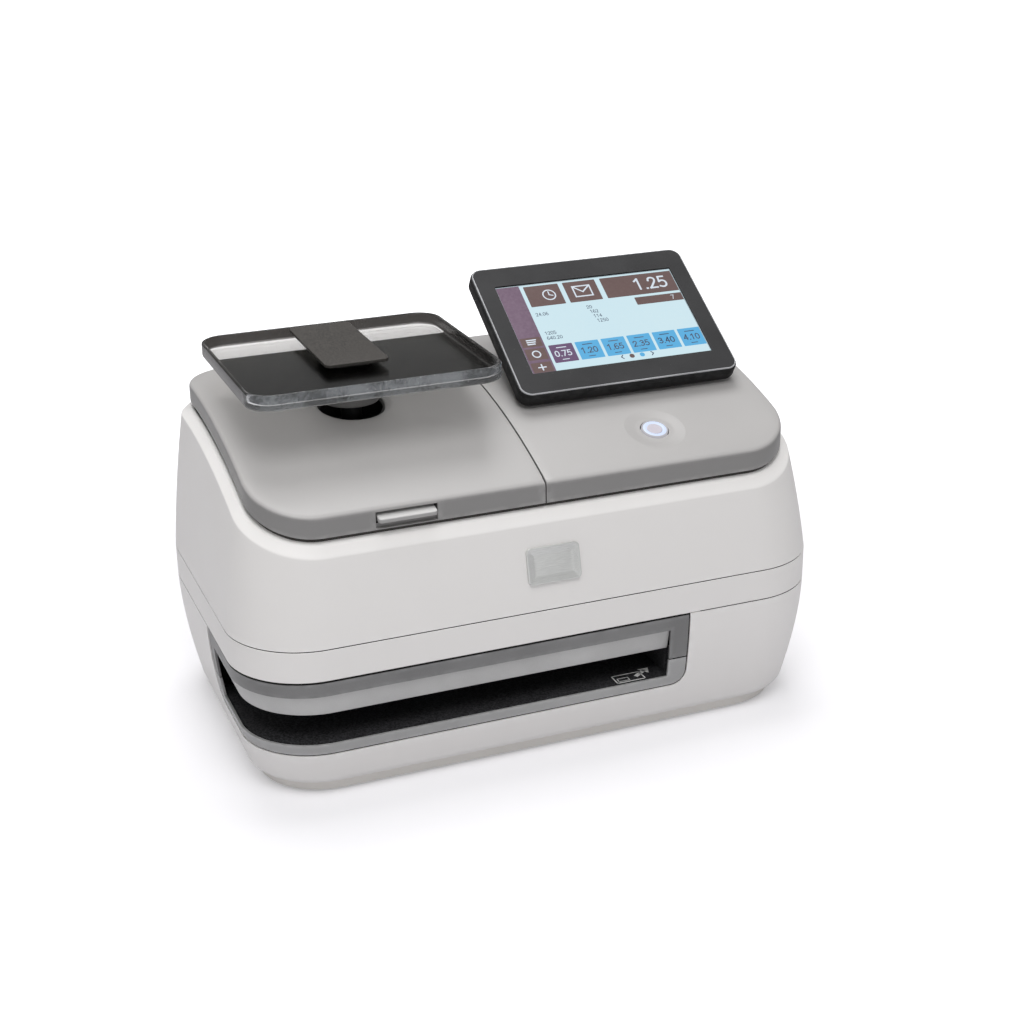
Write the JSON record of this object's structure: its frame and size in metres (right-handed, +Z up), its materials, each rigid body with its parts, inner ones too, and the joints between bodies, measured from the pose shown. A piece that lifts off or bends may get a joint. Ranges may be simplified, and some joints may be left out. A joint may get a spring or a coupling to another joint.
{
  "type": "postage meter",
  "caption": "Desk postage meter with a letter slot round the front left corner, a weighing tray on a hinged cover, a tilting touch display, a lit power button and a print carriage inside.",
  "frame": {"origin": "middle of the footprint on the desk, under the rubber feet", "axes": "+X along the front to the right, +Y to the back, +Z up"},
  "size_m": [0.38, 0.232, 0.2691],
  "materials": {
    "white_shell": "satin",
    "pan_grey": "satin",
    "foot_rubber": "matte",
    "screw_steel": "satin",
    "trim_grey": "satin",
    "throat_grey": "satin",
    "deck_black": "fine grain",
    "sheet_steel": "satin",
    "rod_steel": "polished",
    "carriage_grey": "satin",
    "cartridge_blue": "satin",
    "pad_rubber": "matte",
    "motor_grey": "satin",
    "pulley_alu": "satin",
    "belt_rubber": "matte",
    "board_green": "satin",
    "badge_silver": "satin",
    "cover_grey": "satin",
    "latch_grey": "satin",
    "cell_alu": "satin",
    "tray_smoke": "clear smoked",
    "pad_dark": "fine grain",
    "display_black": "fine grain",
    "screen": "gloss",
    "bracket_dark": "satin",
    "button_grey": "satin",
    "button_light": "lit ring"
  },
  "bodies": {
    "housing": {"base_shell": "white_shell", "bottom_pan": "pan_grey", "rubber_feet": "foot_rubber", "case_screws": "screw_steel", "middle_band": "white_shell", "upper_shell": "white_shell", "slot_upper_trim": "trim_grey", "slot_lower_trim": "trim_grey", "slot_throat": "throat_grey", "letter_deck": "deck_black", "letter_guide": "deck_black", "print_guide": "deck_black", "plate_guide": "carriage_grey", "spine_plate": "sheet_steel", "rod_brackets": "sheet_steel", "guide_rods": "rod_steel", "capping_pad": "pad_rubber", "drive_motor": "motor_grey", "idler_axle": "rod_steel", "carriage_belt": "belt_rubber", "main_board": "board_green", "power_supply": "sheet_steel", "power_inlet": "deck_black", "data_socket": "sheet_steel", "badge_plate": "badge_silver", "display_cover": "cover_grey", "cover_hinge_pins": "rod_steel", "latch_keeper": "sheet_steel", "display_bracket": "bracket_dark", "display_hinge_pin": "rod_steel", "button_switch": "board_green"},
    "scale_lid": {"scale_cover": "cover_grey", "latch_pin": "rod_steel", "scale_well": "deck_black", "load_cell_bracket": "sheet_steel", "load_cell": "cell_alu"},
    "latch": {"latch_lever": "latch_grey"},
    "weigh_plate": {"weigh_tray": "tray_smoke", "tray_pad": "pad_dark", "tray_stem": "deck_black", "weigh_post": "cell_alu"},
    "display": {"display_bezel": "display_black", "screen_panel": "screen", "display_board": "board_green", "display_back": "display_black"},
    "power_button": {"button_cap": "button_grey", "button_ring": "button_light"},
    "carriage": {"print_carriage": "carriage_grey", "ink_cartridges": "cartridge_blue"},
    "drive_pulley": {"motor_pulley": "pulley_alu"},
    "idler": {"idler_pulley": "pulley_alu"},
    "letter_press": {"pressure_plate": "deck_black"}
  },
  "joints": [
    {"name": "cover_hinge", "type": "hinge", "parent": "housing", "child": "scale_lid", "pos_m": [0, 0.1055, 0.19924], "axis": [-1, 0, 0], "range_deg": [0, 65]},
    {"name": "latch_lift", "type": "hinge", "parent": "scale_lid", "child": "latch", "pos_m": [-0.0865, -0.0915, 0.16998], "axis": [-1, 0, 0], "range_deg": [0, 12], "stiffness_Nm_per_rad": 0.06, "springref_deg": -11.46},
    {"name": "weigh_travel", "type": "slide", "parent": "scale_lid", "child": "weigh_plate", "axis": [0, 0, 1], "range_m": [-0.0012, 0], "stiffness_N_per_m": 9000, "springref_m": 0.0008},
    {"name": "display_tilt", "type": "hinge", "parent": "housing", "child": "display", "pos_m": [0.0856, -0.01959, 0.20319], "axis": [1, 0, 0], "range_deg": [-15, 6]},
    {"name": "button_press", "type": "slide", "parent": "housing", "child": "power_button", "axis": [0, 0.3263, -0.9453], "range_m": [0, 0.0012], "stiffness_N_per_m": 400, "springref_m": -0.0012},
    {"name": "carriage_travel", "type": "slide", "parent": "housing", "child": "carriage", "axis": [1, 0, 0], "range_m": [0, 0.155]},
    {"name": "drive_spin", "type": "hinge", "parent": "housing", "child": "drive_pulley", "pos_m": [0.112, -0.02, 0.111], "axis": [0, 1, 0], "continuous": true},
    {"name": "idler_spin", "type": "hinge", "parent": "housing", "child": "idler", "pos_m": [-0.14, -0.02, 0.111], "axis": [0, 1, 0], "continuous": true},
    {"name": "plate_lift", "type": "slide", "parent": "housing", "child": "letter_press", "axis": [0, 0, 1], "range_m": [0, 0.012]}
  ],
  "couplings": [
    {"joint": "drive_spin", "follows": "carriage_travel", "rad_per_m": -144.93},
    {"joint": "idler_spin", "follows": "carriage_travel", "rad_per_m": -144.93}
  ]
}
